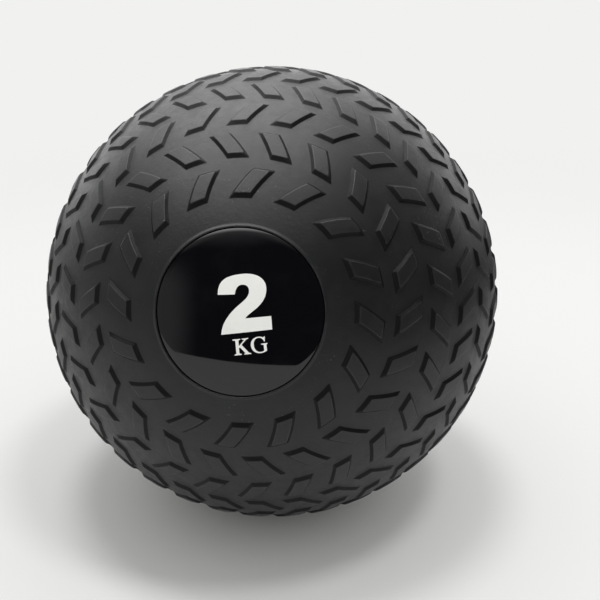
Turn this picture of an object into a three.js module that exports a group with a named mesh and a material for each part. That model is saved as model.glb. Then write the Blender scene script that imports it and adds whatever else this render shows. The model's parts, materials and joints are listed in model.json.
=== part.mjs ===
// A 2 kg medicine ball: a thick moulded shell with tyre-tread lugs, partly filled with loose sand.
// Millimetres, +Z up, origin at the centre of the ball. The badge faces -Y and looks up at the user.

import * as THREE from 'three';

// Driving dimensions of the shell
const BALL_DIAMETER = 230; // over the tops of the lugs
const LUG_HEIGHT = 1.2;
const WALL = 7; // between the lugs and the hollow
const BADGE_TILT = THREE.MathUtils.degToRad(16); // how far the badge looks up as the ball lies
const BADGE_TURN = THREE.MathUtils.degToRad(8.6); // how far its top leans to the left of someone who looks at it

// Driving dimensions of the tread, measured along the surface between the lugs
const SMOOTH_CIRCLE_REACH = 47.7; // from the middle of the badge to the first row of lugs
const CHANNEL = 5.15; // between neighbouring rows
const LUG_LENGTH = 9.3; // along the row, at the foot
const LUG_LEAN = 8.3; // how far a lug's far edge is shifted along the row from its near edge
const LUG_DRAFT = 1.5; // how far a lug's walls slope in on their way up
const LUGS_IN_ROWS = [16, 22, 26, 33, 36, 40, 42]; // from the smooth circle to the equator
const FIRST_LUG_SHARES = [0.45, 0.45, 0.52, 0.55, 0.22, 0.4, 0.5]; // of the spacing, from the badge's top

// Driving dimensions of the badge and its recess
const BADGE_RADIUS = 34.2;
const RIM_WIDTH = 1.4;
const RIM_HEIGHT = 0.5;
const ADHESIVE_THICKNESS = 0.3;
const FILM_THICKNESS = 0.3;
const DOME_THICKNESS = 1.3;
const DOME_EDGE_ROUND = 0.9;

// Driving dimensions of the filler plug and the needle valve in it
const PLUG_HEAD_RADIUS = 12;
const PLUG_HEAD_THICKNESS = 2.4;
const PLUG_NECK_RADIUS = 8;
const PLUG_BARB_RADIUS = 9.2;
const PLUG_BARB_LENGTH = 4.5;
const PLUG_TIP_RADIUS = 6.8;
const PLUG_EDGE_ROUND = 0.6;
const VALVE_HEAD_RADIUS = 4.2;
const VALVE_HEAD_THICKNESS = 1.2;
const VALVE_STEM_RADIUS = 2.7;
const VALVE_TIP_RADIUS = 1.6;
const VALVE_TIP_LENGTH = 2.2;
const NEEDLE_PASSAGE_RADIUS = 0.8;
const NEEDLE_MOUTH_RADIUS = 1.5;
const NEEDLE_MOUTH_DEPTH = 0.8;
const NEEDLE_PASSAGE_END = 1; // material that the needle pushes open at the end of its passage

// Driving dimensions of the sand
const SAND_DEPTH = 29.5; // at its deepest
const SAND_MOUND = 3; // how far the middle of the heap stands above its edge

const SEAT_GAP = 0.3; // between pieces that touch on the real ball

// Steps round the axis and along arcs
const BADGE_STEPS = 60;
const PLUG_STEPS = 24;
const HOLLOW_STEPS = 40;
const FACE_STEPS = 3;
const ROUND_STEPS = 4;
const BED_STEPS = 6;

// Sizes that follow from these
const LUG_TOP = BALL_DIAMETER / 2;
const BASE = LUG_TOP - LUG_HEIGHT; // radius of the surface between the lugs
const HOLLOW = BASE - WALL;
const RECESS_RADIUS = BADGE_RADIUS + SEAT_GAP;
const RECESS_DEPTH = ADHESIVE_THICKNESS + FILM_THICKNESS + DOME_THICKNESS + 3 * SEAT_GAP;
const EQUATOR_REACH = BASE * Math.PI / 2;
const ROW_PITCH = (EQUATOR_REACH - SMOOTH_CIRCLE_REACH + CHANNEL / 2) / LUGS_IN_ROWS.length;
const LUG_DEPTH = ROW_PITCH - CHANNEL; // across the row, at the foot

// Distances from the ball's centre along the axis of the plug and the valve
const PLUG_FACE = Math.sqrt(BASE ** 2 - PLUG_HEAD_RADIUS ** 2);
const PLUG_BARB = Math.sqrt((HOLLOW - SEAT_GAP) ** 2 - PLUG_BARB_RADIUS ** 2);
const PLUG_TIP = PLUG_BARB - PLUG_BARB_LENGTH;

const fullTurn = 2 * Math.PI;

// A closed surface that is laid ring by ring from the badge to the back of the ball and back through the
// filler hole. Each ring holds the numbers of its points, in order round the badge's axis, with their azimuths.
class RingSurface {
  constructor() {
    this.points = [];
    this.triangles = [];
    this.last = null;
  }

  // A point at a distance from the centre, an angle from the badge's axis and an azimuth.
  // Azimuth 0 is the badge's top, and azimuths grow anticlockwise as the badge is looked at.
  point(radius, polar, azimuth) {
    const across = radius * Math.sin(polar);
    this.points.push(-across * Math.sin(azimuth), across * Math.cos(azimuth), radius * Math.cos(polar));
    return { number: this.points.length / 3 - 1, azimuth };
  }

  triangle(a, b, c) {
    this.triangles.push(a.number, b.number, c.number);
  }

  quad(a, b, c, d) {
    this.triangle(a, b, c);
    this.triangle(a, c, d);
  }

  // Joins the last ring to the next, also where the two have different numbers of points.
  joinTo(ring) {
    const last = this.last;
    this.last = ring;
    if (last === null) {
      return;
    }
    if (last.length === 1 || ring.length === 1) {
      this.fan(last, ring);
      return;
    }
    const unrolled = (points, step) =>
      points[step % points.length].azimuth + fullTurn * Math.floor(step / points.length);
    let from = 0;
    let to = 0;
    while (from < last.length || to < ring.length) {
      const a = last[from % last.length];
      const b = ring[to % ring.length];
      const middleA = (unrolled(last, from) + unrolled(last, from + 1)) / 2;
      const middleB = (unrolled(ring, to) + unrolled(ring, to + 1)) / 2;
      if (to === ring.length || (from < last.length && middleA <= middleB)) {
        from += 1;
        this.triangle(a, b, last[from % last.length]);
      } else {
        to += 1;
        this.triangle(a, b, ring[to % ring.length]);
      }
    }
  }

  // Joins a ring to the single point before or after it.
  fan(last, ring) {
    const open = last.length === 1 ? ring : last;
    open.forEach((here, step) => {
      const next = open[(step + 1) % open.length];
      if (last.length === 1) {
        this.triangle(last[0], here, next);
      } else {
        this.triangle(here, ring[0], next);
      }
    });
  }

  // Lays an even ring, or a single point on the axis.
  ring(radius, polar, steps) {
    const ring = [];
    for (let step = 0; step < steps; step += 1) {
      ring.push(this.point(radius, polar, fullTurn * step / steps));
    }
    this.joinTo(ring);
  }

  // Lays an even ring whose distance across and along the badge's axis are given.
  ringAt(across, along, steps) {
    this.ring(Math.hypot(across, along), Math.atan2(across, along), steps);
  }

  // Lays a row of lugs. A row on the back is the mirror image of its partner on the front.
  lugRow(row, onBack) {
    const nearEdge = SMOOTH_CIRCLE_REACH + row * ROW_PITCH;
    const acrossAt = (depth) => BASE * Math.sin((nearEdge + depth) / BASE);
    const leanSense = row % 2 === 0 ? -1 : 1;
    const spacing = fullTurn / LUGS_IN_ROWS[row];
    const sideSlope = LUG_LEAN / LUG_DEPTH;
    const sideDraft = LUG_DRAFT * Math.hypot(1, sideSlope);
    const edges = { near: [], far: [] };
    const lugs = [];

    for (let lug = 0; lug < LUGS_IN_ROWS[row]; lug += 1) {
      const start = (FIRST_LUG_SHARES[row] + lug) * spacing;
      // A corner of the foot or the top, by how deep into the row it is and at which end of the lug.
      const corner = (depth, end, inset) => {
        const polar = (nearEdge + depth) / BASE;
        const middle = start + LUG_LENGTH / 2 / acrossAt(0);
        const lean = leanSense * depth * sideSlope / acrossAt(LUG_DEPTH / 2);
        const azimuth = middle + lean + end * (LUG_LENGTH / 2 - inset) / acrossAt(depth);
        const radius = inset === 0 ? BASE : LUG_TOP;
        return this.point(radius, onBack ? Math.PI - polar : polar, azimuth);
      };
      const foot = [corner(0, -1, 0), corner(0, 1, 0), corner(LUG_DEPTH, 1, 0), corner(LUG_DEPTH, -1, 0)];
      const top = [
        corner(LUG_DRAFT, -1, sideDraft),
        corner(LUG_DRAFT, 1, sideDraft),
        corner(LUG_DEPTH - LUG_DRAFT, 1, sideDraft),
        corner(LUG_DEPTH - LUG_DRAFT, -1, sideDraft),
      ];
      edges.near.push(foot[0], foot[1]);
      edges.far.push(foot[3], foot[2]);
      lugs.push({ foot, top });
    }

    this.joinTo(onBack ? edges.far : edges.near);
    lugs.forEach(({ foot, top }, lug) => {
      const next = lugs[(lug + 1) % lugs.length].foot;
      const faces = [
        [top[0], top[3], top[2], top[1]],
        [foot[1], foot[2], next[3], next[0]],
      ];
      for (let side = 0; side < 4; side += 1) {
        const after = (side + 1) % 4;
        faces.push([foot[side], top[side], top[after], foot[after]]);
      }
      faces.forEach((face) => this.quad(...(onBack ? face.reverse() : face)));
    });
    this.last = onBack ? edges.near : edges.far;
  }

  geometry() {
    const geometry = new THREE.BufferGeometry();
    geometry.setAttribute('position', new THREE.Float32BufferAttribute(this.points, 3));
    geometry.setIndex(this.triangles);
    geometry.computeVertexNormals();
    return geometry;
  }
}

// The angle from the badge's axis to a ring of a given radius on a sphere about the ball's centre.
const polarOf = (across, radius) => Math.asin(across / radius);

// The shell in one piece: badge recess, tread, filler hole and hollow.
function shellGeometry() {
  const surface = new RingSurface();
  const floor = BASE - RECESS_DEPTH;
  const floorEdge = polarOf(RECESS_RADIUS, floor);
  const rimTop = BASE + RIM_HEIGHT;
  const rimOuter = RECESS_RADIUS + RIM_WIDTH;
  const smoothCircle = SMOOTH_CIRCLE_REACH / BASE;

  // The recess floor follows the ball, and its wall is straight, for the mould to draw.
  surface.ring(floor, 0, 1);
  surface.ring(floor, floorEdge / 2, BADGE_STEPS / 2);
  surface.ring(floor, floorEdge, BADGE_STEPS);
  surface.ringAt(RECESS_RADIUS, Math.sqrt(BASE ** 2 - RECESS_RADIUS ** 2) + RIM_HEIGHT / 2, BADGE_STEPS);
  surface.ring(rimTop, polarOf(RECESS_RADIUS + RIM_WIDTH / 4, rimTop), BADGE_STEPS);
  surface.ring(rimTop, polarOf(rimOuter - RIM_WIDTH / 2, rimTop), BADGE_STEPS);
  surface.ring(BASE, polarOf(rimOuter, BASE), BADGE_STEPS);
  surface.ring(BASE, (polarOf(rimOuter, BASE) + smoothCircle) / 2, BADGE_STEPS / 2);

  for (let row = 0; row < LUGS_IN_ROWS.length; row += 1) {
    surface.lugRow(row, false);
  }
  for (let row = LUGS_IN_ROWS.length - 1; row >= 0; row -= 1) {
    surface.lugRow(row, true);
  }

  // The back is smooth as far as the filler hole, whose step seats the plug's head.
  const mouth = PLUG_HEAD_RADIUS + SEAT_GAP;
  const neck = PLUG_NECK_RADIUS + SEAT_GAP;
  const mouthPolar = polarOf(mouth, BASE);
  const step = PLUG_FACE - PLUG_HEAD_THICKNESS - SEAT_GAP;
  surface.ring(BASE, Math.PI - (smoothCircle * 2 + mouthPolar) / 3, BADGE_STEPS / 2);
  surface.ring(BASE, Math.PI - (smoothCircle + mouthPolar * 2) / 3, BADGE_STEPS / 2);
  surface.ring(BASE, Math.PI - mouthPolar, PLUG_STEPS);
  surface.ringAt(mouth, -step, PLUG_STEPS);
  surface.ringAt(neck, -step, PLUG_STEPS);
  surface.ring(HOLLOW, Math.PI - polarOf(neck, HOLLOW), PLUG_STEPS);

  // The hollow is a plain sphere, from the filler hole round to the back of the badge.
  const rings = HOLLOW_STEPS / 2;
  for (let ring = 1; ring < rings; ring += 1) {
    surface.ring(HOLLOW, Math.PI * (1 - ring / rings), HOLLOW_STEPS);
  }
  surface.ring(HOLLOW, 0, 1);
  return surface.geometry();
}

// A solid of revolution about the badge's axis, from points given as [across, along].
function turned(profile, steps) {
  const points = profile.map(([across, along]) => new THREE.Vector2(across, along));
  return new THREE.LatheGeometry(points, steps).rotateX(Math.PI / 2);
}

// Points along an arc about a centre, both ends included.
function arc([across, along], radius, from, to) {
  const points = [];
  for (let step = 0; step <= ROUND_STEPS; step += 1) {
    const angle = from + (to - from) * step / ROUND_STEPS;
    points.push([across + radius * Math.cos(angle), along + radius * Math.sin(angle)]);
  }
  return points;
}

// Points on a sphere about the ball's centre, from one distance across the axis to another.
function onSphere(radius, fromAcross, toAcross, steps = FACE_STEPS) {
  const points = [];
  for (let step = 0; step <= steps; step += 1) {
    const across = fromAcross + (toAcross - fromAcross) * step / steps;
    points.push([across, Math.sqrt(radius ** 2 - across ** 2)]);
  }
  return points;
}

// A layer of the badge: a disc curved like the ball, between two spheres.
function layerGeometry(under, thickness) {
  return turned([
    ...onSphere(under, 0, BADGE_RADIUS),
    ...onSphere(under + thickness, BADGE_RADIUS, 0),
  ], BADGE_STEPS);
}

// The clear resin face, which rolls over at its edge.
function domeGeometry(under) {
  const top = under + DOME_THICKNESS;
  const rollAcross = BADGE_RADIUS - DOME_EDGE_ROUND;
  const rollAlong = Math.sqrt(top ** 2 - rollAcross ** 2) - DOME_EDGE_ROUND;
  const lean = Math.asin(rollAcross / top);
  return turned([
    ...onSphere(under, 0, BADGE_RADIUS),
    ...arc([rollAcross, rollAlong], DOME_EDGE_ROUND, 0, Math.PI / 2 - lean / 2),
    ...onSphere(top, rollAcross, 0).slice(1),
  ], BADGE_STEPS);
}

// The rubber plug: a head flush with the ball, a neck through the wall, and a barb that grips inside.
function plugGeometry() {
  const underHead = PLUG_FACE - PLUG_HEAD_THICKNESS;
  const valveSeat = PLUG_FACE - VALVE_HEAD_THICKNESS - SEAT_GAP;
  const headBore = VALVE_HEAD_RADIUS + SEAT_GAP;
  const stemBore = VALVE_STEM_RADIUS + SEAT_GAP;
  const roundCentre = [PLUG_HEAD_RADIUS - PLUG_EDGE_ROUND, PLUG_FACE - PLUG_EDGE_ROUND];
  const outline = [
    [stemBore, PLUG_TIP],
    [PLUG_TIP_RADIUS, PLUG_TIP],
    [PLUG_BARB_RADIUS, PLUG_BARB - PLUG_EDGE_ROUND],
    [PLUG_BARB_RADIUS, PLUG_BARB],
    [PLUG_NECK_RADIUS, PLUG_BARB],
    [PLUG_NECK_RADIUS, underHead],
    [PLUG_HEAD_RADIUS, underHead],
    ...arc(roundCentre, PLUG_EDGE_ROUND, 0, Math.PI / 2),
    [headBore, PLUG_FACE],
    [headBore, valveSeat],
    [stemBore, valveSeat],
  ];
  return turned([...outline, outline[0]], PLUG_STEPS);
}

// The needle valve: a headed rubber stem with a blind passage that a pump needle pushes open.
function valveGeometry() {
  const underHead = PLUG_FACE - VALVE_HEAD_THICKNESS;
  const end = PLUG_TIP - VALVE_TIP_LENGTH;
  return turned([
    [0, end],
    [VALVE_TIP_RADIUS, end],
    [VALVE_STEM_RADIUS, PLUG_TIP],
    [VALVE_STEM_RADIUS, underHead],
    [VALVE_HEAD_RADIUS, underHead],
    [VALVE_HEAD_RADIUS, PLUG_FACE],
    [NEEDLE_MOUTH_RADIUS, PLUG_FACE],
    [NEEDLE_PASSAGE_RADIUS, PLUG_FACE - NEEDLE_MOUTH_DEPTH],
    [NEEDLE_PASSAGE_RADIUS, end + NEEDLE_PASSAGE_END],
    [0, end + NEEDLE_PASSAGE_END],
  ], PLUG_STEPS);
}

// The heap of sand, which lies on the inside of the shell with a low mound on top.
function sandGeometry() {
  // The hollow's flat facets stand in from its sphere, so the sand stays inside the deepest of them.
  const facetHalf = Math.hypot(Math.PI / (HOLLOW_STEPS / 2), fullTurn / HOLLOW_STEPS) / 2;
  const radius = HOLLOW * Math.cos(facetHalf) - SEAT_GAP;
  const crest = SAND_DEPTH - radius;
  const edge = crest - SAND_MOUND;
  const edgeAcross = Math.sqrt(radius ** 2 - edge ** 2);
  const bed = onSphere(radius, 0, edgeAcross, BED_STEPS).map(([across, along]) => [across, -along]);
  const mound = [];
  for (let step = 1; step < BED_STEPS; step += 1) {
    const share = 1 - step / BED_STEPS;
    mound.push([edgeAcross * share, edge + SAND_MOUND * (1 - share ** 2)]);
  }
  return turned([...bed, ...mound, [0, crest]], HOLLOW_STEPS);
}

function piece(name, geometry, color, roughness, extra = {}) {
  const material = new THREE.MeshStandardMaterial({ color, roughness, metalness: 0, ...extra });
  const mesh = new THREE.Mesh(geometry, material);
  mesh.name = name;
  return mesh;
}

// The badge, from the recess floor outwards
const adhesiveUnder = BASE - RECESS_DEPTH + SEAT_GAP;
const filmUnder = adhesiveUnder + ADHESIVE_THICKNESS + SEAT_GAP;
const domeUnder = filmUnder + FILM_THICKNESS + SEAT_GAP;
const front = new THREE.Group();
front.add(
  piece('badge_adhesive', layerGeometry(adhesiveUnder, ADHESIVE_THICKNESS), 0xb9b7ae, 0.8),
  piece('badge_film', layerGeometry(filmUnder, FILM_THICKNESS), 0x08080a, 0.35),
  piece('badge_dome', domeGeometry(domeUnder), 0x101013, 0.05, { transparent: true, opacity: 0.35 }),
);

// The plug and its valve, opposite the badge
const back = new THREE.Group();
back.rotation.x = Math.PI;
back.add(
  piece('filler_plug', plugGeometry(), 0x161617, 0.7),
  piece('valve_core', valveGeometry(), 0x0e0e0f, 0.6),
);

// The ball as it lies, with its badge looking up from the front
const ball = new THREE.Group();
ball.rotation.set(Math.PI / 2 - BADGE_TILT, 0, BADGE_TURN);
ball.add(piece('ball_shell', shellGeometry(), 0x1b1b1c, 0.62), front, back);

const medicineBall = new THREE.Group();
medicineBall.add(ball, piece('sand_fill', sandGeometry(), 0x2b2724, 0.95));

export default medicineBall;
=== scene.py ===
import json
from math import asin, atan2, cos, hypot, pi, radians, sin, sqrt, tan

import bmesh
import bpy
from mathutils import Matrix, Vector
from mathutils.geometry import interpolate_bezier


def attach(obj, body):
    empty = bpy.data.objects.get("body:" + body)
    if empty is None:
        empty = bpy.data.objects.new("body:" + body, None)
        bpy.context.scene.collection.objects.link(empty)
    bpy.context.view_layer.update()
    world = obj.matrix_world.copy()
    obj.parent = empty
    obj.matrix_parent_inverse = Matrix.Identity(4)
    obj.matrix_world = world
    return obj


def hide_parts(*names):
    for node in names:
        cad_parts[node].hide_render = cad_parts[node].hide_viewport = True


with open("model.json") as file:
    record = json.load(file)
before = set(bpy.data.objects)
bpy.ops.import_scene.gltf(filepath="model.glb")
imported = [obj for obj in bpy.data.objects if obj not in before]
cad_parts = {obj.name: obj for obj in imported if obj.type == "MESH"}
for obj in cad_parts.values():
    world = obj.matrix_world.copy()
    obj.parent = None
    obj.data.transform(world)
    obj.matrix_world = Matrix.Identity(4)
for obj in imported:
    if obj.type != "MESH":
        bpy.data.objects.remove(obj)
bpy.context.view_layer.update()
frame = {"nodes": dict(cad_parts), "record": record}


# The shell is one piece of soft black PVC, 7 mm thick under the lugs, cast in a turning mould of two halves.
# The mould gives it the tread, the smooth circle and the recess for the badge. Hands polish the lugs' edges
# and leave dust on them. The lugs' walls are drawn dull and dark as painted shade.
MM = 0.001
mounts = {mount["name"]: mount for mount in frame["record"]["mounts"]}

LUG_TOP = -mounts["rack_seat"]["pos_m"][2]
LUG_HEIGHT = 1.2 * MM
BASE = LUG_TOP - LUG_HEIGHT
WALL = 7 * MM
HOLLOW = BASE - WALL
SEAT_GAP = 0.3 * MM

SMOOTH_CIRCLE_REACH = 47.7 * MM
CHANNEL = 5.15 * MM
LUG_LENGTH = 9.3 * MM
LUG_LEAN = 8.3 * MM
LUGS_IN_ROWS = [16, 22, 26, 33, 36, 40, 42]
FIRST_LUG_SHARES = [0.45, 0.45, 0.52, 0.55, 0.22, 0.4, 0.5]
ROW_PITCH = (BASE * pi / 2 - SMOOTH_CIRCLE_REACH + CHANNEL / 2) / len(LUGS_IN_ROWS)
LUG_DEPTH = ROW_PITCH - CHANNEL
LUG_SLOPE = LUG_LEAN / LUG_DEPTH
LUG_CORNER = 0.4 * MM
NEAR_WALL_SHARE = 1.2     # how wide a lug's walls are against its drafted foot
FAR_WALL_SHARE = 0.9
SIDE_WALL_SHARE = 0.8
FLAT_CHANNEL = 1.6 * MM   # the strip in the middle of a channel that joins two rows

BADGE_RADIUS = 34.2 * MM
RECESS_RADIUS = BADGE_RADIUS + SEAT_GAP
RECESS_DEPTH = 2.8 * MM
RIM_HEIGHT = 0.5 * MM
BEAD_RADIUS = 0.45 * MM   # of the round top of the rim
BEAD_TURNS = (180, 155, 130, 105, 80, 55, 30)
BEAD_FOOT = 1.4 * MM      # from the recess's wall to where the rim meets the ball
FOOT_FADE = 0.4 * MM

PLUG_HEAD_RADIUS = 12 * MM
PLUG_HEAD_THICKNESS = 2.4 * MM
PLUG_NECK_RADIUS = 8 * MM
PLUG_FACE = sqrt(BASE ** 2 - PLUG_HEAD_RADIUS ** 2)

# How far from the middle of the badge, or of the plug, the rings on the smooth parts lie.
FRONT_RINGS = (38 * MM, 40.5 * MM, 43 * MM)
BACK_RINGS = (43 * MM, 38 * MM, 32 * MM, 26 * MM, 20 * MM, 15 * MM)
RECESS_FLOOR_SHARES = (0, 0.3, 0.6, 0.98)
ROUND_STEPS = 192
HOLLOW_RINGS = 24

# The badge looks up a little, and its mark leans to the left of someone who looks at it.
MARK_LEAN = radians(8.6)
badge_out = -Vector(mounts["valve_mouth"]["axis"])
level_left = Vector((-1, 0, 0))
badge_upright = level_left.cross(badge_out)
mark_top = cos(MARK_LEAN) * badge_upright + sin(MARK_LEAN) * level_left
mark_left = cos(MARK_LEAN) * level_left - sin(MARK_LEAN) * badge_upright


def outward(polar, azimuth):
    """The direction at an angle from the badge's axis, and anticlockwise from the mark's top."""
    return cos(polar) * badge_out + sin(polar) * (cos(azimuth) * mark_top + sin(azimuth) * mark_left)


class Skin:
    """A surface laid ring by ring about the badge's axis, with how worn each point is, -1 where painted shade
    goes, and how round it is.
    """

    def __init__(self):
        self.points = []
        self.faces = []
        self.normals = []
        self.wear_and_wall_shade = []
        self.last = None

    def point(self, radius, polar, azimuth, ball_round=False, wear_and_wall_shade=0.0):
        direction = outward(polar, azimuth)
        self.points.append(radius * direction)
        self.normals.append(direction if ball_round else Vector())
        self.wear_and_wall_shade.append(wear_and_wall_shade)
        return len(self.points) - 1

    def join(self, ring):
        """Joins the last ring to the next by azimuth, also where their numbers of points differ."""
        ring = sorted((azimuth % (2 * pi), number) for azimuth, number in ring)
        last, self.last = self.last, ring
        if last is None:
            return
        if len(last) == 1 or len(ring) == 1:
            hub, rim = (last, ring) if len(last) == 1 else (ring, last)
            for step, (_, number) in enumerate(rim):
                self.faces.append((hub[0][1], number, rim[(step + 1) % len(rim)][1]))
            return
        if len(last) == len(ring) and all(abs(a[0] - b[0]) < 1e-9 for a, b in zip(last, ring)):
            for step in range(len(ring)):
                after = (step + 1) % len(ring)
                self.faces.append((last[step][1], ring[step][1], ring[after][1], last[after][1]))
            return
        here = there = 0
        while here < len(last) or there < len(ring):
            middles = []
            for points, step in ((last, here), (ring, there)):
                total = 0
                for number in (step, step + 1):
                    total += points[number % len(points)][0] + 2 * pi * (number // len(points))
                middles.append(total / 2)
            a, b = last[here % len(last)][1], ring[there % len(ring)][1]
            if there == len(ring) or (here < len(last) and middles[0] <= middles[1]):
                here += 1
                self.faces.append((a, b, last[here % len(last)][1]))
            else:
                there += 1
                self.faces.append((a, b, ring[there % len(ring)][1]))

    def ring(self, across, along, steps, ball_round=False, wear_and_wall_shade=0.0):
        """Lays a ring a distance across the badge's axis and a distance along it."""
        radius, polar = hypot(across, along), atan2(across, along)
        turns = [2 * pi * step / steps for step in range(steps if across > 0 else 1)]
        self.join([(turn, self.point(radius, polar, turn, ball_round, wear_and_wall_shade)) for turn in turns])

    def ring_on(self, radius, across, steps, ball_round=False, wear_and_wall_shade=0.0, side=1):
        """Lays a ring on a sphere about the ball's centre, on the badge's side or the other."""
        self.ring(across, side * sqrt(radius ** 2 - across ** 2), steps, ball_round, wear_and_wall_shade)

    def made(self, name):
        """Makes the closed mesh, with its faces turned outwards."""
        mesh = bpy.data.meshes.new(name)
        mesh.from_pydata(self.points, [], self.faces)
        sheet = bmesh.new()
        sheet.from_mesh(mesh)
        bmesh.ops.recalc_face_normals(sheet, faces=sheet.faces)
        sheet.to_mesh(mesh)
        sheet.free()
        mesh.shade_smooth()
        if any(self.wear_and_wall_shade):
            mesh.attributes.new("wear_and_wall_shade", "FLOAT", "POINT").data.foreach_set("value", self.wear_and_wall_shade)
        if any(normal.length for normal in self.normals):
            mesh.normals_split_custom_set_from_vertices(self.normals)
        piece = bpy.data.objects.new(name, mesh)
        bpy.context.scene.collection.objects.link(piece)
        return piece


def rounded_plan(inset, sense):
    """A lug's outline at an inset, as 22 places along and across its row, with rounded corners."""
    half = LUG_LENGTH / 2 - SIDE_WALL_SHARE * inset * hypot(1, LUG_SLOPE)
    near, far = NEAR_WALL_SHARE * inset, LUG_DEPTH - FAR_WALL_SHARE * inset
    corners = []
    for end, depth in ((-1, near), (1, near), (1, far), (-1, far)):
        corners.append(Vector((sense * LUG_SLOPE * depth + end * half, depth)))
    arcs = []
    for number, corner in enumerate(corners):
        before = (corners[number - 1] - corner).normalized()
        after = (corners[(number + 1) % 4] - corner).normalized()
        half_angle = before.angle(after) / 2
        reach = LUG_CORNER / tan(half_angle)
        middle = corner + (before + after).normalized() * LUG_CORNER * (1 / sin(half_angle) - 1)
        arcs.append((corner + before * reach, middle, corner + after * reach))
    plan = []
    for number, inner in enumerate((2, 3, 2, 3)):
        start, end = arcs[number][2], arcs[(number + 1) % 4][0]
        plan += [arcs[number][1], start]
        plan += [start.lerp(end, step / (inner + 1)) for step in range(1, inner + 1)]
        plan.append(end)
    return plan


# The wall of a lug from the channel up: how far in from its foot, how high, how worn, and whether the skin is
# as round as the ball there. A wear of -1 marks the walls, which take painted shade.
LUG_WALL = [
    (-0.35 * MM, 0, 0, True),
    (-0.02 * MM, 0.056 * MM, -1, False),
    (0.273 * MM, 0.219 * MM, -1, False),
    (1.281 * MM, 1.025 * MM, -1, False),
    (1.516 * MM, 1.155 * MM, 1, False),
    (1.78 * MM, LUG_HEIGHT, 0.5, True),
]
TOP_HANDLED = 0.2
CELL_END_SHARES = [0.08, 0.36, 0.64, 0.92]
CELL_SIDE_SHARES = [0, 0.06, 0.28, 0.5, 0.72, 0.94, 1]


def lay_tread_row(skin, row, on_back):
    """Lays a row of lugs, each in a cell of the base that it shares its sides with."""
    count = LUGS_IN_ROWS[row]
    near_edge = SMOOTH_CIRCLE_REACH + row * ROW_PITCH
    sense = -1 if row % 2 == 0 else 1
    spacing = 2 * pi / count
    margin = (CHANNEL - FLAT_CHANNEL) / 2

    def across_at(depth):
        return BASE * sin((near_edge + depth) / BASE)

    def turn_at(lug, along, depth):
        middle = (FIRST_LUG_SHARES[row] + lug) * spacing + LUG_LENGTH / 2 / across_at(0)
        lean = sense * LUG_SLOPE * depth
        return middle + lean / across_at(LUG_DEPTH / 2) + (along - lean) / across_at(depth)

    def place(turn, depth, height, wear_and_wall_shade, ball_round):
        polar = (near_edge + depth) / BASE
        return skin.point(BASE + height, pi - polar if on_back else polar, turn, ball_round, wear_and_wall_shade)

    def on_seam(lug, depth, share):
        turn = turn_at(lug, sense * LUG_SLOPE * depth, depth) + (share - 0.5) * spacing
        return turn, place(turn, depth, 0, 0, True)

    sides = []
    ends = {-margin: [], LUG_DEPTH + margin: []}
    for lug in range(count):
        reach = LUG_DEPTH + 2 * margin
        sides.append([on_seam(lug, -margin + share * reach, 0) for share in CELL_SIDE_SHARES])
        for depth, strips in ends.items():
            strips.append([on_seam(lug, depth, share) for share in CELL_END_SHARES])
    near, far = ends.values()
    near_ring = [spot for side in sides for spot in side[:1]] + [spot for strip in near for spot in strip]
    far_ring = [spot for side in sides for spot in side[-1:]] + [spot for strip in far for spot in strip]

    skin.join(far_ring if on_back else near_ring)
    for lug in range(count):
        after = sides[(lug + 1) % count]
        rim = sides[lug][:1] + near[lug] + after + far[lug][::-1] + sides[lug][:0:-1]
        outer = [number for _, number in rim]
        for inset, height, wear_and_wall_shade, ball_round in LUG_WALL:
            plan = rounded_plan(inset, sense)
            inner = [place(turn_at(lug, *spot), spot.y, height, wear_and_wall_shade, ball_round) for spot in plan]
            for step in range(len(plan)):
                nxt = (step + 1) % len(plan)
                skin.faces.append((outer[step], outer[nxt], inner[nxt], inner[step]))
            outer = inner
        # The top is a grid of 5 by 6 faces inside the last outline.
        low, high = range(0, 6), range(16, 10, -1)
        left, right = [0, *range(21, 15, -1)], range(5, 12)
        grid = {}
        for i in range(6):
            for j in range(7):
                if j in (0, 6):
                    grid[i, j] = outer[(low if j == 0 else high)[i]]
                elif i in (0, 5):
                    grid[i, j] = outer[(left if i == 0 else right)[j]]
                else:
                    a, b = i / 5, j / 6
                    spot = (1 - b) * plan[low[i]] + b * plan[high[i]]
                    spot += (1 - a) * plan[left[j]] + a * plan[right[j]]
                    spot -= (1 - b) * ((1 - a) * plan[0] + a * plan[5])
                    spot -= b * ((1 - a) * plan[16] + a * plan[11])
                    grid[i, j] = place(turn_at(lug, *spot), spot.y, LUG_HEIGHT, TOP_HANDLED, True)
        for i in range(5):
            for j in range(6):
                skin.faces.append((grid[i, j], grid[i + 1, j], grid[i + 1, j + 1], grid[i, j + 1]))
    skin.last = sorted((turn % (2 * pi), number) for turn, number in (near_ring if on_back else far_ring))


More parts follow.
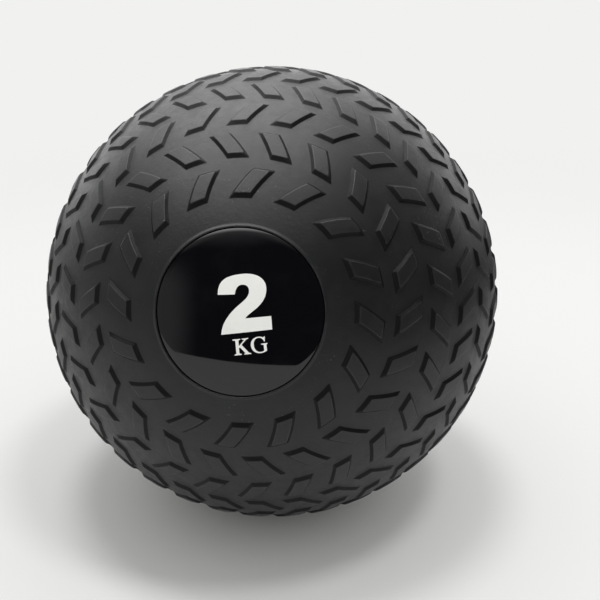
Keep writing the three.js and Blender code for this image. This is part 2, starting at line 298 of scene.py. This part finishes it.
shell_skin = Skin()
recess_floor = BASE - RECESS_DEPTH
for share in RECESS_FLOOR_SHARES:
    shell_skin.ring_on(recess_floor, share * RECESS_RADIUS, ROUND_STEPS, ball_round=True)
recess_mouth = sqrt(BASE ** 2 - RECESS_RADIUS ** 2)
floor_corner = sqrt(recess_floor ** 2 - RECESS_RADIUS ** 2)
shell_skin.ring(RECESS_RADIUS - 0.1 * MM, floor_corner + 0.12 * MM, ROUND_STEPS)
for along in (floor_corner + 0.4 * MM, recess_mouth - 1 * MM, recess_mouth - 0.4 * MM):
    shell_skin.ring(RECESS_RADIUS, along, ROUND_STEPS)
bead_across = RECESS_RADIUS + BEAD_RADIUS
bead_along = sqrt((BASE + RIM_HEIGHT - BEAD_RADIUS) ** 2 - bead_across ** 2)
bead_tilt = asin(bead_across / BASE)
for turn in BEAD_TURNS:
    lift = radians(turn) - bead_tilt
    shell_skin.ring(bead_across + BEAD_RADIUS * cos(lift), bead_along + BEAD_RADIUS * sin(lift),
                    ROUND_STEPS, wear_and_wall_shade=0.8 if 60 < turn < 140 else 0.3)
shell_skin.ring_on(BASE + 0.04 * MM, RECESS_RADIUS + BEAD_FOOT, ROUND_STEPS)
shell_skin.ring_on(BASE, RECESS_RADIUS + BEAD_FOOT + FOOT_FADE, ROUND_STEPS, ball_round=True)
for reach in FRONT_RINGS:
    shell_skin.ring_on(BASE, BASE * sin(reach / BASE), ROUND_STEPS, ball_round=True)
for row in range(len(LUGS_IN_ROWS)):
    lay_tread_row(shell_skin, row, on_back=False)
for row in reversed(range(len(LUGS_IN_ROWS))):
    lay_tread_row(shell_skin, row, on_back=True)

# The back is smooth as far as the filler hole, which is stepped for the plug's head and neck.
mouth = PLUG_HEAD_RADIUS + SEAT_GAP
neck = PLUG_NECK_RADIUS + SEAT_GAP
step_down = PLUG_FACE - PLUG_HEAD_THICKNESS - SEAT_GAP
for reach in BACK_RINGS:
    shell_skin.ring_on(BASE, BASE * sin(reach / BASE), ROUND_STEPS, ball_round=True, side=-1)
mouth_along = sqrt(BASE ** 2 - mouth ** 2)
shell_skin.ring_on(BASE, mouth + 0.5 * MM, ROUND_STEPS, ball_round=True, wear_and_wall_shade=0.3, side=-1)
shell_skin.ring(mouth + 0.15 * MM, -mouth_along + 0.1 * MM, ROUND_STEPS, wear_and_wall_shade=0.8)
shell_skin.ring(mouth, -mouth_along + 0.4 * MM, ROUND_STEPS, wear_and_wall_shade=0.3)
shell_skin.ring(mouth, -step_down, ROUND_STEPS)
shell_skin.ring(neck, -step_down, ROUND_STEPS)
shell_skin.ring_on(HOLLOW, neck, ROUND_STEPS, side=-1)
for ring in range(1, HOLLOW_RINGS + 1):
    polar = pi * (1 - ring / HOLLOW_RINGS)
    across = HOLLOW * sin(polar) if ring < HOLLOW_RINGS else 0
    shell_skin.ring(across, HOLLOW * cos(polar), 2 * HOLLOW_RINGS)

shell = shell_skin.made("tread_shell")
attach(shell, "ball")
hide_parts("ball_shell")


def feed(socket, value):
    """Gives a socket a plain value, or links what comes from another node to it."""
    if isinstance(value, Signal):
        value = value.socket
    if isinstance(value, bpy.types.NodeSocket):
        socket.id_data.links.new(value, socket)
    else:
        socket.default_value = value


class Signal:
    """A number that the shader works out at every point. Sums on it add Math nodes."""

    def __init__(self, socket):
        self.socket = socket

    def worked(self, operation, first, second):
        node = self.socket.id_data.nodes.new("ShaderNodeMath")
        node.operation = operation
        feed(node.inputs[0], first)
        feed(node.inputs[1], second)
        return Signal(node.outputs[0])

    def __add__(self, other):
        return self.worked("ADD", self, other)

    def __radd__(self, other):
        return self.worked("ADD", other, self)

    def __sub__(self, other):
        return self.worked("SUBTRACT", self, other)

    def __rsub__(self, other):
        return self.worked("SUBTRACT", other, self)

    def __mul__(self, other):
        return self.worked("MULTIPLY", self, other)

    def __rmul__(self, other):
        return self.worked("MULTIPLY", other, self)

    def __gt__(self, other):
        return self.worked("GREATER_THAN", self, other)


class Nodes:
    """A node tree to build a finish, a floor or the light of the surroundings in."""

    def __init__(self, tree):
        self.tree = tree

    def node(self, kind, settings=None, sockets=None, output=0):
        """Adds a node with its settings and sockets, and gives back one of its outputs, if it has any."""
        node = self.tree.nodes.new(kind)
        for name, value in (settings or {}).items():
            setattr(node, name, value)
        for name, value in (sockets or {}).items():
            feed(node.inputs[name], value)
        return node.outputs[output] if node.outputs else None

    def rises(self, signal, low, high):
        """0 below the low value, 1 above the high one, with a smooth step between them."""
        settings = {"interpolation_type": "SMOOTHSTEP"}
        sockets = {"Value": signal, "From Min": low, "From Max": high}
        return Signal(self.node("ShaderNodeMapRange", settings, sockets))

    def blend(self, share, first, second):
        """A colour between two others."""
        return self.node("ShaderNodeMix", {"data_type": "RGBA"}, {0: share, 6: first, 7: second}, 2)


class Finish(Nodes):
    """A material for one kind of piece, with patterns that lie in the piece itself."""

    def __init__(self, name):
        self.material = bpy.data.materials.new(name)
        self.material.use_nodes = True
        super().__init__(self.material.node_tree)
        self.shader = self.tree.nodes["Principled BSDF"]
        self.coordinates = self.node("ShaderNodeTexCoord", output="Object")

    def noise(self, per_metre, detail=2.0, roughness=0.5):
        sockets = {"Vector": self.coordinates, "Scale": per_metre, "Detail": detail, "Roughness": roughness}
        return Signal(self.node("ShaderNodeTexNoise", None, sockets))

    def specks(self, per_metre, size):
        """Small round spots, one to a cell."""
        sockets = {"Vector": self.coordinates, "Scale": per_metre}
        return 1 - self.rises(Signal(self.node("ShaderNodeTexVoronoi", None, sockets)), size * 0.6, size)

    def bump(self, height, depth, under=None):
        sockets = {"Height": height, "Distance": depth, "Strength": 1.0}
        if under is not None:
            sockets["Normal"] = under
        return self.node("ShaderNodeBump", None, sockets)

    def surface(self, **values):
        """Sets the shader's sockets, whose names are written with underscores for spaces."""
        for name, value in values.items():
            feed(self.shader.inputs[name.replace("_", " ").title().replace("Ior", "IOR")], value)

    def shared_with(self, share, other):
        """Gives a share of the surface to another shader."""
        mixed = self.node("ShaderNodeMixShader", None, {0: share, 1: self.shader.outputs[0], 2: other})
        feed(self.tree.nodes["Material Output"].inputs["Surface"], mixed)

    def on(self, *pieces):
        for piece in pieces:
            piece.data.materials.clear()
            piece.data.materials.append(self.material)


tread_finish = Finish("tread_pvc")
clouds = tread_finish.rises(tread_finish.noise(26, 4, 0.6), 0.32, 0.68)
mottle = tread_finish.noise(240, 3, 0.6)
grain = tread_finish.noise(2300, 3, 0.6)
flow_marks = tread_finish.noise(620, 4, 0.65)
wear_and_wall_shade = Signal(tread_finish.node("ShaderNodeAttribute", {"attribute_name": "wear_and_wall_shade"}, output="Fac"))
# 1 on the lugs' walls, marked -1, where the darker wall shader paints shade.
painted_shade_on_walls = 1 - tread_finish.rises(wear_and_wall_shade, -1, -0.2)
rubbed_patches = tread_finish.rises(tread_finish.noise(60, 4, 0.6) + mottle * 0.3, 0.45, 0.8)
rubbed = tread_finish.rises(wear_and_wall_shade, 0, 1) * rubbed_patches
dust = tread_finish.specks(700, 0.22) * tread_finish.rises(tread_finish.noise(45, 3), 0.5, 0.66)
dust = dust * (tread_finish.noise(900, 0) > 0.54)
pvc = tread_finish.blend(clouds, (0.0075, 0.0077, 0.0084, 1), (0.0115, 0.0118, 0.0127, 1))
pvc = tread_finish.blend(rubbed * 0.6, pvc, (0.03, 0.0305, 0.0325, 1))
pvc = tread_finish.blend(dust * 0.6, pvc, (0.12, 0.12, 0.115, 1))
relief = tread_finish.bump(grain, 0.04 * MM, tread_finish.bump(flow_marks, 0.09 * MM))
tread_finish.surface(
    base_color=pvc,
    specular_ior_level=0.35,
    roughness=0.42 + clouds * 0.07 + (mottle - 0.5) * 0.24 - rubbed * 0.05 + dust * 0.3,
    normal=relief,
)
# A darker, less glossy copy of the PVC, mixed onto the lugs' walls as painted shade.
painted_shade_wall_look = {"Base Color": (0.004, 0.004, 0.0045, 1), "Roughness": 0.55, "Specular IOR Level": 0.12}
painted_shade_wall_shader = tread_finish.node("ShaderNodeBsdfPrincipled", None, {**painted_shade_wall_look, "Normal": relief})
tread_finish.shared_with(painted_shade_on_walls * 0.85, painted_shade_wall_shader)
tread_finish.on(shell)


# The badge is glued into the shell's recess: a disc of transfer adhesive, a black printed film on it,
# and a face of glossy resin that is poured on the film and draws itself into a rolled edge.
ADHESIVE_THICKNESS = 0.3 * MM
FILM_THICKNESS = 0.3 * MM
DOME_THICKNESS = 1.3 * MM
DOME_EDGE = 34.35 * MM    # the resin reaches a little past the film
DOME_EDGE_DROP = 0.24 * MM
DOME_EDGE_WIDTH = 3.2 * MM
DOME_EDGE_ROUND = 0.12 * MM
DOME_EDGE_STEPS = 10
DOME_RINGS = (30 * MM, 27 * MM, 23 * MM, 18 * MM, 12 * MM, 6 * MM, 0)
dome_under = BASE - RECESS_DEPTH + ADHESIVE_THICKNESS + FILM_THICKNESS + 3 * SEAT_GAP
dome_top = dome_under + DOME_THICKNESS

dome_skin = Skin()
for share in (0, 0.5, 1):
    dome_skin.ring_on(dome_under, share * DOME_EDGE, ROUND_STEPS, ball_round=share < 1)
edge_along = sqrt(dome_top ** 2 - DOME_EDGE ** 2) - DOME_EDGE_DROP
dome_skin.ring(DOME_EDGE, edge_along - 2 * DOME_EDGE_ROUND, ROUND_STEPS)
dome_skin.ring(DOME_EDGE, edge_along - DOME_EDGE_ROUND, ROUND_STEPS)
for step in range(DOME_EDGE_STEPS + 1):
    share = 1 - step / DOME_EDGE_STEPS
    across = DOME_EDGE - DOME_EDGE_ROUND - (1 - share) * DOME_EDGE_WIDTH
    drop = DOME_EDGE_DROP * share ** 3
    dome_skin.ring(across, sqrt(dome_top ** 2 - across ** 2) - drop, ROUND_STEPS, ball_round=drop == 0)
for across in DOME_RINGS:
    dome_skin.ring_on(dome_top, across, ROUND_STEPS, ball_round=True)
dome = dome_skin.made("resin_face")
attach(dome, "ball")
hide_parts("badge_dome")

resin_finish = Finish("badge_resin")
smudges = resin_finish.rises(resin_finish.noise(95, 5, 0.65), 0.45, 0.75)
flow = resin_finish.noise(38, 2, 0.5)
resin_finish.surface(
    base_color=resin_finish.blend(smudges, (0.0012, 0.0013, 0.0022, 1), (0.0025, 0.0026, 0.0035, 1)),
    roughness=0.035 + smudges * 0.035,
    normal=resin_finish.bump(flow, 0.03 * MM),
)
resin_finish.on(dome)

film_finish = Finish("printed_film")
film_ink = film_finish.noise(900, 3, 0.6)
film_finish.surface(
    base_color=film_finish.blend(film_ink, (0.0035, 0.0035, 0.0042, 1), (0.0055, 0.0055, 0.006, 1)),
    roughness=0.3 + film_ink * 0.1,
    normal=film_finish.bump(film_ink, 0.01 * MM),
)
film_finish.on(frame["nodes"]["badge_film"])

glue_finish = Finish("transfer_adhesive")
glue_flow = glue_finish.noise(420, 4, 0.6)
glue_finish.surface(
    base_color=glue_finish.blend(glue_flow, (0.44, 0.43, 0.37, 1), (0.52, 0.51, 0.46, 1)),
    roughness=0.4 + glue_flow * 0.2,
    normal=glue_finish.bump(glue_flow, 0.04 * MM),
)
glue_finish.on(frame["nodes"]["badge_adhesive"])


# The weight mark is white ink, a 2 over a smaller KG, printed on the film under the clear resin. The
# resin is drawn as dark as the film that shows through it, so the ink is laid on its face, where the
# eye sees it. Outlines are in millimetres to the right and up, and two handles make a line a curve.
MARK_TOP = dome_top + 0.025 * MM
MARK_THICKNESS = 0.06 * MM
MARK_STEP = 1.5 * MM
MARK_RIGHT = 0.7 * MM     # from the middle of the badge to where the outlines are measured from
CURVE_STEPS = 8

TWO = [
    (-7.7, 8.45),
    ((-7.2, 14.3), (-3.4, 15.6), (2.6, 15.6)),
    ((8.6, 15.6), (11.95, 13.0), (11.95, 9.3)),
    ((11.95, 5.6), (9.6, 3.1), (7.2, 1.45)),
    ((5.0, 0.0), (3.2, -0.9), (2.15, -2.1)),
    (12.55, -2.35), (12.25, -7.75), (-8.35, -7.6),
    ((-7.7, -3.6), (-5.0, -0.6), (-2.0, 1.85)),
    ((1.0, 4.4), (5.05, 5.6), (5.05, 8.9)),
    ((5.05, 10.5), (4.0, 11.35), (2.3, 11.35)),
    ((0.6, 11.35), (-0.3, 9.9), (-0.8, 7.85)),
]
LETTER_K = [
    (-4.15, -10.0), (-0.95, -10.05), (-0.95, -10.35), (-1.75, -10.6), (-1.95, -12.95), (0.55, -10.65),
    (-0.35, -10.4), (-0.35, -10.05), (2.25, -10.0), (2.25, -10.3), (1.35, -10.6), (-0.75, -12.55),
    (1.75, -16.0), (2.65, -16.35), (2.65, -16.65), (-0.25, -16.6), (-0.25, -16.3), (0.35, -16.1),
    (-1.55, -13.5), (-2.0, -13.75), (-2.1, -15.9), (-1.25, -16.25), (-1.25, -16.6), (-4.2, -16.6),
    (-4.2, -16.3), (-3.35, -15.95), (-3.05, -10.65), (-4.15, -10.35),
]
LETTER_G = [
    (8.95, -10.15), (8.65, -12.15), (8.4, -12.15),
    ((8.0, -11.0), (7.3, -10.45), (6.4, -10.45)),
    ((5.1, -10.45), (4.1, -11.5), (4.1, -13.3)),
    ((4.1, -15.2), (5.1, -16.25), (6.5, -16.25)),
    ((7.1, -16.25), (7.6, -16.15), (7.95, -15.85)),
    (8.0, -13.55), (7.05, -13.25), (7.05, -12.95), (9.6, -12.95), (9.6, -13.2), (9.15, -13.5), (9.05, -16.0),
    ((8.3, -16.5), (7.5, -16.75), (6.4, -16.75)),
    ((4.3, -16.75), (2.9, -15.4), (2.9, -13.3)),
    ((2.9, -11.3), (4.4, -10.0), (6.3, -10.0)),
    ((7.2, -10.0), (7.8, -10.2), (8.2, -10.5)),
    (8.6, -10.15),
]


def outline_points(outline):
    """The points of an outline, with its curves divided into short lines."""
    points = []
    for entry in outline:
        if isinstance(entry[0], tuple):
            first, second, end = (Vector(place) for place in entry)
            points += interpolate_bezier(points[-1], first, second, end, CURVE_STEPS + 1)[1:]
        else:
            points.append(Vector(entry))
    return [Vector(point) * MM + Vector((MARK_RIGHT, 0)) for point in points]


def printed(name, outline):
    """A layer of ink in the shape of an outline, laid over the curve of the badge."""
    ink = bmesh.new()
    ink.faces.new([ink.verts.new((point.x, point.y, 0)) for point in outline_points(outline)])
    bmesh.ops.triangulate(ink, faces=ink.faces)
    reach = int(BADGE_RADIUS / MARK_STEP)
    for axis in (Vector((1, 0, 0)), Vector((0, 1, 0))):
        for step in range(-reach, reach + 1):
            everything = [*ink.verts, *ink.edges, *ink.faces]
            bmesh.ops.bisect_plane(ink, geom=everything, plane_co=axis * step * MARK_STEP, plane_no=axis)
    for corner in ink.verts:
        right, up, _ = corner.co
        along = sqrt(MARK_TOP ** 2 - right ** 2 - up ** 2)
        corner.co = along * badge_out - right * mark_left + up * mark_top
    facets, rim = list(ink.faces), [edge for edge in ink.edges if edge.is_boundary]
    lowered = (MARK_TOP - MARK_THICKNESS) / MARK_TOP
    under = {corner: ink.verts.new(lowered * corner.co) for corner in list(ink.verts)}
    for facet in facets:
        ink.faces.new([under[corner] for corner in facet.verts])
    for first, second in (edge.verts for edge in rim):
        ink.faces.new((first, second, under[second], under[first]))
    bmesh.ops.recalc_face_normals(ink, faces=ink.faces)
    mesh = bpy.data.meshes.new(name)
    ink.to_mesh(mesh)
    ink.free()
    mesh.shade_smooth()
    mesh.normals_split_custom_set_from_vertices([vertex.co.normalized() for vertex in mesh.vertices])
    piece = bpy.data.objects.new(name, mesh)
    bpy.context.scene.collection.objects.link(piece)
    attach(piece, "ball")
    return piece


ink_finish = Finish("white_ink")
ink_density = ink_finish.noise(500, 4, 0.6)
ink_finish.surface(
    base_color=ink_finish.blend(ink_density, (0.80, 0.80, 0.77, 1), (0.86, 0.86, 0.83, 1)),
    roughness=0.035 + ink_density * 0.03,
)
ink_finish.on(printed("mark_two", TWO), printed("mark_k", LETTER_K), printed("mark_g", LETTER_G))


# The plug is moulded rubber, pressed into the filler hole when the sand is in. Its barb grips the wall
# from inside. The needle valve in it is a softer rubber stem, through which a pump sets the pressure.
PLUG_BARB_RADIUS = 9.2 * MM
PLUG_BARB_LENGTH = 4.5 * MM
PLUG_TIP_RADIUS = 6.8 * MM
PLUG_EDGE_ROUND = 0.6 * MM
PLUG_BARB = sqrt((HOLLOW - SEAT_GAP) ** 2 - PLUG_BARB_RADIUS ** 2)
PLUG_TIP = PLUG_BARB - PLUG_BARB_LENGTH
VALVE_HEAD_RADIUS = 4.2 * MM
VALVE_HEAD_THICKNESS = 1.2 * MM
VALVE_STEM_RADIUS = 2.7 * MM
VALVE_TIP_RADIUS = 1.6 * MM
VALVE_TIP_LENGTH = 2.2 * MM
NEEDLE_PASSAGE_RADIUS = 0.8 * MM
NEEDLE_MOUTH_RADIUS = 1.5 * MM
NEEDLE_MOUTH_DEPTH = 0.8 * MM
NEEDLE_PASSAGE_END = 1 * MM
PLUG_STEPS = 96
CORNER_STEPS = 4
GROOVE_DEPTH = 0.3 * MM
GROOVE_ACROSS = (10.4 * MM, 10.1 * MM, 9.5 * MM, 9.2 * MM)


def rounded_profile(corners):
    """Rounds each corner of a closed profile that has a radius, given as across, along, radius."""
    profile = []
    for number, (across, along, radius) in enumerate(corners):
        corner = Vector((across, along))
        if radius == 0:
            profile.append(corner)
            continue
        before = Vector(corners[number - 1][:2]) - corner
        after = Vector(corners[(number + 1) % len(corners)][:2]) - corner
        before.normalize()
        after.normalize()
        half_angle = before.angle(after) / 2
        centre = corner + (before + after).normalized() * radius / sin(half_angle)
        start = corner + before * radius / tan(half_angle) - centre
        end = corner + after * radius / tan(half_angle) - centre
        for step in range(CORNER_STEPS + 1):
            profile.append(centre + radius * start.slerp(end, step / CORNER_STEPS))
    return profile


def turned(name, corners, steps, closes_on_axis):
    """A piece turned about the plug's axis, from a profile of distances across and along it."""
    profile = rounded_profile(corners)
    skin = Skin()
    for spot in profile:
        skin.ring(spot.x, -spot.y, steps)
    if not closes_on_axis:
        skin.join([(2 * pi * step / steps, step) for step in range(steps)])
    piece = skin.made(name)
    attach(piece, "ball")
    return piece


under_head = PLUG_FACE - PLUG_HEAD_THICKNESS
valve_seat = PLUG_FACE - VALVE_HEAD_THICKNESS - SEAT_GAP
head_bore = VALVE_HEAD_RADIUS + SEAT_GAP
stem_bore = VALVE_STEM_RADIUS + SEAT_GAP
plug = turned("filler_plug_rubber", [
    (stem_bore, PLUG_TIP, 0.2 * MM),
    (PLUG_TIP_RADIUS, PLUG_TIP, 0.5 * MM),
    (PLUG_BARB_RADIUS, PLUG_BARB - PLUG_EDGE_ROUND, 0.2 * MM),
    (PLUG_BARB_RADIUS, PLUG_BARB, 0.2 * MM),
    (PLUG_NECK_RADIUS, PLUG_BARB, 0.3 * MM),
    (PLUG_NECK_RADIUS, under_head, 0.3 * MM),
    (PLUG_HEAD_RADIUS, under_head, 0.2 * MM),
    (PLUG_HEAD_RADIUS, PLUG_FACE, PLUG_EDGE_ROUND),
    (GROOVE_ACROSS[0], PLUG_FACE, 0.1 * MM),
    (GROOVE_ACROSS[1], PLUG_FACE - GROOVE_DEPTH, 0.1 * MM),
    (GROOVE_ACROSS[2], PLUG_FACE - GROOVE_DEPTH, 0.1 * MM),
    (GROOVE_ACROSS[3], PLUG_FACE, 0.1 * MM),
    (head_bore, PLUG_FACE, 0.3 * MM),
    (head_bore, valve_seat, 0.1 * MM),
    (stem_bore, valve_seat, 0.1 * MM),
], PLUG_STEPS, closes_on_axis=False)
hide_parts("filler_plug")

valve_end = PLUG_TIP - VALVE_TIP_LENGTH
valve = turned("needle_valve_rubber", [
    (0, valve_end, 0),
    (VALVE_TIP_RADIUS, valve_end, 0.3 * MM),
    (VALVE_STEM_RADIUS, PLUG_TIP, 0.3 * MM),
    (VALVE_STEM_RADIUS, PLUG_FACE - VALVE_HEAD_THICKNESS, 0.2 * MM),
    (VALVE_HEAD_RADIUS, PLUG_FACE - VALVE_HEAD_THICKNESS, 0.2 * MM),
    (VALVE_HEAD_RADIUS, PLUG_FACE, 0.35 * MM),
    (NEEDLE_MOUTH_RADIUS, PLUG_FACE, 0.15 * MM),
    (NEEDLE_PASSAGE_RADIUS, PLUG_FACE - NEEDLE_MOUTH_DEPTH, 0.2 * MM),
    (NEEDLE_PASSAGE_RADIUS, valve_end + NEEDLE_PASSAGE_END, 0.2 * MM),
    (0, valve_end + NEEDLE_PASSAGE_END, 0),
], PLUG_STEPS, closes_on_axis=True)
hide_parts("valve_core")


def moulded_rubber(name, dark, pale, roughness):
    """Plain moulded rubber, a little uneven in colour, with a fine grain."""
    finish = Finish(name)
    bloom = finish.rises(finish.noise(160, 4, 0.6), 0.35, 0.7)
    pores = finish.noise(2600, 3, 0.6)
    finish.surface(
        base_color=finish.blend(bloom, dark, pale),
        roughness=roughness + bloom * 0.1,
        normal=finish.bump(pores, 0.04 * MM),
    )
    return finish


moulded_rubber("plug_rubber", (0.008, 0.008, 0.009, 1), (0.014, 0.014, 0.015, 1), 0.5).on(plug)
moulded_rubber("valve_rubber", (0.005, 0.005, 0.005, 1), (0.010, 0.010, 0.010, 1), 0.38).on(valve)


# The fill is loose iron sand, poured in through the filler hole. It stays at the bottom as the ball
# rolls, so it is one heap on the inside of the shell, with a low mound and a rough, grainy top.
SAND_DEPTH = 29.5 * MM
SAND_MOUND = 3 * MM
SAND_RIPPLE = 0.35 * MM
SAND_CLEARANCE = 1 * MM
SAND_STEPS = 96
SAND_RINGS = 36
sand_radius = HOLLOW - SAND_CLEARANCE
crest = SAND_DEPTH - HOLLOW
shore = crest - SAND_MOUND
shore_across = sqrt(sand_radius ** 2 - shore ** 2)


def close_rows(sheet, rows, steps):
    """Joins rings of corners, of which one may be a single corner, with faces."""
    for inner, outer in zip(rows, rows[1:]):
        for step in range(steps):
            after = (step + 1) % steps
            corners = [inner[step % len(inner)], outer[step % len(outer)]]
            corners += [outer[after % len(outer)], inner[after % len(inner)]]
            sheet.faces.new(list(dict.fromkeys(corners)))


heap = bmesh.new()
rows = []
for ring in range(SAND_RINGS + 1):
    across = shore_across * ring / SAND_RINGS
    count = SAND_STEPS if ring > 0 else 1
    row_of_sand = []
    for step in range(count):
        turn = 2 * pi * step / count
        x, y = across * cos(turn), across * sin(turn)
        ripple = sin(x * 210 + 1.3 * sin(y * 150)) * sin(y * 180 + 0.7) * SAND_RIPPLE
        level = shore + SAND_MOUND * (1 - (ring / SAND_RINGS) ** 2)
        fade = 1 - (ring / SAND_RINGS) ** 8
        row_of_sand.append(heap.verts.new((x, y, level + ripple * fade)))
    rows.append(row_of_sand)
for ring in range(SAND_RINGS - 1, -1, -1):
    across = shore_across * ring / SAND_RINGS
    count = SAND_STEPS if ring > 0 else 1
    turns = [2 * pi * step / count for step in range(count)]
    depth = -sqrt(sand_radius ** 2 - across ** 2)
    rows.append([heap.verts.new((across * cos(turn), across * sin(turn), depth)) for turn in turns])
close_rows(heap, rows, SAND_STEPS)
bmesh.ops.recalc_face_normals(heap, faces=heap.faces)
sand_mesh = bpy.data.meshes.new("iron_sand_heap")
heap.to_mesh(sand_mesh)
heap.free()
sand_mesh.shade_smooth()
sand = bpy.data.objects.new("iron_sand_heap", sand_mesh)
bpy.context.scene.collection.objects.link(sand)
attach(sand, "sand")
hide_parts("sand_fill")

sand_finish = Finish("iron_sand")
cells = {"Vector": sand_finish.coordinates, "Scale": 1400}
grains = Signal(sand_finish.node("ShaderNodeTexVoronoi", None, cells))
tones = sand_finish.noise(1100, 2)
sand_finish.surface(
    base_color=sand_finish.blend(tones, (0.018, 0.015, 0.013, 1), (0.05, 0.04, 0.033, 1)),
    roughness=0.7 + tones * 0.2,
    normal=sand_finish.bump(1 - grains, 0.3 * MM),
)
sand_finish.on(sand)


# The ball lies on a plain pale sheet of paper, wide enough to fill the view and lit evenly far away.
# It isn't part of the ball, and nothing fixes the ball to it.
FLOOR_RADIUS = 8.0
LIT_FLOOR_RADII = (0.45, 1.1)
FAR_PALE = 0.88
floor_mesh = bpy.data.meshes.new("floor")
floor_sheet = bmesh.new()
bmesh.ops.create_circle(floor_sheet, cap_ends=True, segments=96, radius=FLOOR_RADIUS)
floor_sheet.to_mesh(floor_mesh)
floor_sheet.free()
floor = bpy.data.objects.new("floor", floor_mesh)
floor.location.z = -LUG_TOP
bpy.context.scene.collection.objects.link(floor)


def seen_rays(nodes):
    """1 for what the camera, a reflection or a clear piece sees, and 0 for light on the object."""
    rays = nodes.node("ShaderNodeLightPath").node.outputs
    seen = Signal(rays["Is Camera Ray"]) + Signal(rays["Is Glossy Ray"]) + Signal(rays["Is Transmission Ray"])
    return seen > 0.5


floor_material = bpy.data.materials.new("pale_sheet")
floor_material.use_nodes = True
floor_nodes = Nodes(floor_material.node_tree)
floor_nodes.tree.nodes.clear()
place_on_floor = floor_nodes.node("ShaderNodeTexCoord", output="Object")
distance = floor_nodes.node("ShaderNodeVectorMath", {"operation": "LENGTH"}, {0: place_on_floor}, "Value")
far = floor_nodes.rises(distance, *LIT_FLOOR_RADII) * seen_rays(floor_nodes)
sheet = floor_nodes.node("ShaderNodeBsdfDiffuse", None, {"Color": (0.86, 0.862, 0.855, 1)})
glow = floor_nodes.node("ShaderNodeEmission", None, {"Color": (FAR_PALE, FAR_PALE, FAR_PALE * 0.99, 1)})
mixed = floor_nodes.node("ShaderNodeMixShader", None, {0: far, 1: sheet, 2: glow})
floor_nodes.node("ShaderNodeOutputMaterial", None, {"Surface": mixed})
floor_mesh.materials.append(floor_material)

# The light is the room's, which is even, and that of two lamps two metres up, one nearly over the ball
# and one to the right and in front. Reflections don't show the lamps themselves.
ROOM_WHITE = (1, 1, 0.99, 1)
ROOM_LIGHT = 0.73
SEEN_ROOM = 0.88
world = bpy.data.worlds.new("room")
bpy.context.scene.world = world
world.use_nodes = True
room = Nodes(world.node_tree)
background = room.tree.nodes["Background"]
feed(background.inputs["Color"], ROOM_WHITE)
feed(background.inputs["Strength"], ROOM_LIGHT + seen_rays(room) * (SEEN_ROOM - ROOM_LIGHT))

LAMPS = {"left_lamp": ((-0.15, -0.10, 2.0), 0.24, 40), "right_lamp": ((0.62, -0.42, 2.0), 0.2, 34)}
for name, (place, radius, watts) in LAMPS.items():
    light = bpy.data.lights.new(name, "POINT")
    light.shadow_soft_size = radius
    light.energy = watts
    lamp = bpy.data.objects.new(name, light)
    lamp.location = place
    bpy.context.scene.collection.objects.link(lamp)
    lamp.visible_glossy = False

# Only reflections show the tent that stands round the ball: dark on the camera's side, lighter at the
# foot of its left and in a band under its top, and bright overhead and behind.
TENT_RADIUS = 0.66
TENT_RINGS = 24
TENT_STEPS = 72
TENT_LEFT_BY = 0.15
TENT_DARK = 0.05
TENT_DUSK = 0.4
TENT_LEFT = 0.35
TENT_TOP = 4.2
TENT_BACK = 1.8
tent_foot = asin(-LUG_TOP / TENT_RADIUS)
tent_mesh = bpy.data.meshes.new("tent")
tent_sheet = bmesh.new()
tent_rows = []
for step in range(TENT_RINGS + 1):
    rise = tent_foot + (pi / 2 - tent_foot) * step / TENT_RINGS
    turns = [2 * pi * number / TENT_STEPS for number in range(TENT_STEPS if step < TENT_RINGS else 1)]
    level = [Vector((sin(turn) * cos(rise), -cos(turn) * cos(rise), sin(rise))) for turn in turns]
    tent_rows.append([tent_sheet.verts.new(TENT_RADIUS * direction) for direction in level])
close_rows(tent_sheet, tent_rows[::-1], TENT_STEPS)
tent_sheet.to_mesh(tent_mesh)
tent_sheet.free()
tent = bpy.data.objects.new("tent", tent_mesh)
tent.location.x = -TENT_LEFT_BY
bpy.context.scene.collection.objects.link(tent)
for kind in ("camera", "diffuse", "shadow", "transmission", "volume_scatter"):
    setattr(tent, f"visible_{kind}", False)
tent_material = bpy.data.materials.new("reflected_tent")
tent_material.use_nodes = True
tent_nodes = Nodes(tent_material.node_tree)
tent_nodes.tree.nodes.clear()
spot = tent_nodes.node("ShaderNodeTexCoord", output="Object")
axes = tent_nodes.node("ShaderNodeSeparateXYZ", None, {0: spot}).node.outputs
x, y, z = (Signal(axes[axis]) for axis in "XYZ")
left_foot = (1 - tent_nodes.rises(x, -0.33, -0.13)) * (1 - tent_nodes.rises(z, 0.2, 0.4))
overhead = tent_nodes.rises(z, 0.5, 0.6)
behind = tent_nodes.rises(y, 0.1, 0.35) * tent_nodes.rises(z, -0.02, 0.1)
dusk = tent_nodes.rises(z, 0.4, 0.5)
brightness = TENT_DARK + left_foot * TENT_LEFT + dusk * TENT_DUSK + overhead * TENT_TOP + behind * TENT_BACK
glow = tent_nodes.node("ShaderNodeEmission", None, {"Color": brightness, "Strength": 1.0})
tent_nodes.node("ShaderNodeOutputMaterial", None, {"Surface": glow})
tent_mesh.materials.append(tent_material)

# The camera looks down at the ball from 460 mm away, a little from the right. Its place, turn and lens
# put the ball's outline and its rows of lugs where the photograph has them.
CAMERA_PLACE = (0.0572, -0.4270, 0.1613)
CAMERA_DOWN = radians(21.07)
CAMERA_TURN = radians(5.79)
camera_data = bpy.data.cameras.new("camera")
camera_data.sensor_width = 36
camera_data.lens = 52.37
camera_data.clip_start = 0.01
camera = bpy.data.objects.new("camera", camera_data)
camera.location = CAMERA_PLACE
camera.rotation_euler = (pi / 2 - CAMERA_DOWN, 0, CAMERA_TURN)
bpy.context.scene.collection.objects.link(camera)
bpy.context.scene.camera = camera
bpy.context.scene.view_settings.view_transform = "Standard"
